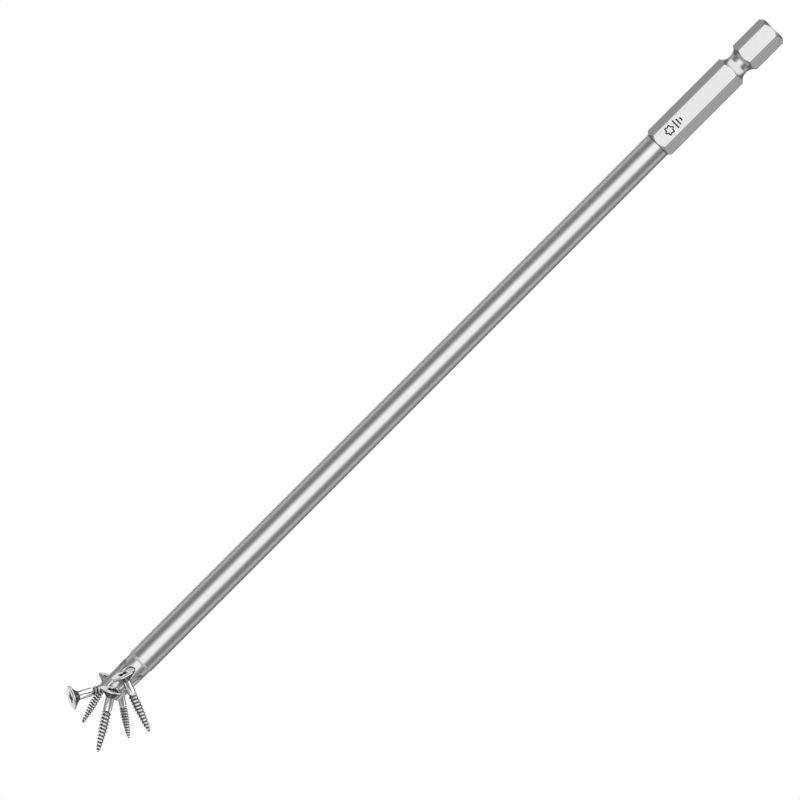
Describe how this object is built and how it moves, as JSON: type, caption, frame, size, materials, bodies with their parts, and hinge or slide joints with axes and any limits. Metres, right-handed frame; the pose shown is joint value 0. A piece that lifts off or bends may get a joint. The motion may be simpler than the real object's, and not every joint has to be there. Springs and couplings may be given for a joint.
{
  "type": "magnetised driver bit with screws",
  "caption": "Long magnetised six-lobe driver bit with a hexagonal drive shank, its tip holding small loose countersunk screws.",
  "frame": {"origin": "centre of the hexagonal shank's flat end face", "axes": "+Z along the bit's axis from the tip to the shank's end face, -Y out of one flat of the hexagon, +X through one of its corners"},
  "size_m": [0.0194, 0.0188, 0.2102],
  "materials": {
    "satin_tool_steel": "satin, ground round the shaft and drawn along the hexagon",
    "bright_zinc": "bright zinc plate"
  },
  "bodies": {
    "bit": {"driver_bit": "satin_tool_steel"},
    "screw_left": {"screw_left": "bright_zinc"},
    "screw_left_small": {"screw_left_small": "bright_zinc"},
    "screw_lower_left": {"screw_lower_left": "bright_zinc"},
    "screw_lower_small": {"screw_lower_small": "bright_zinc"},
    "screw_lower_right": {"screw_lower_right": "bright_zinc"}
  },
  "joints": [
    {"name": "pull_left", "type": "slide", "parent": "bit", "child": "screw_left", "axis": [-0.4769, -0.0417, -0.878], "range_m": [0, 0.02]},
    {"name": "pull_left_small", "type": "slide", "parent": "bit", "child": "screw_left_small", "axis": [-0.0872, 0.9962, 0], "range_m": [0, 0.02]},
    {"name": "pull_lower_left", "type": "slide", "parent": "bit", "child": "screw_lower_left", "axis": [0.0872, -0.9962, 0], "range_m": [0, 0.02]},
    {"name": "pull_lower_small", "type": "slide", "parent": "bit", "child": "screw_lower_small", "axis": [0.7198, 0.4552, -0.524], "range_m": [0, 0.02]},
    {"name": "pull_lower_right", "type": "slide", "parent": "bit", "child": "screw_lower_right", "axis": [0.0872, -0.9962, 0], "range_m": [0, 0.02]}
  ]
}
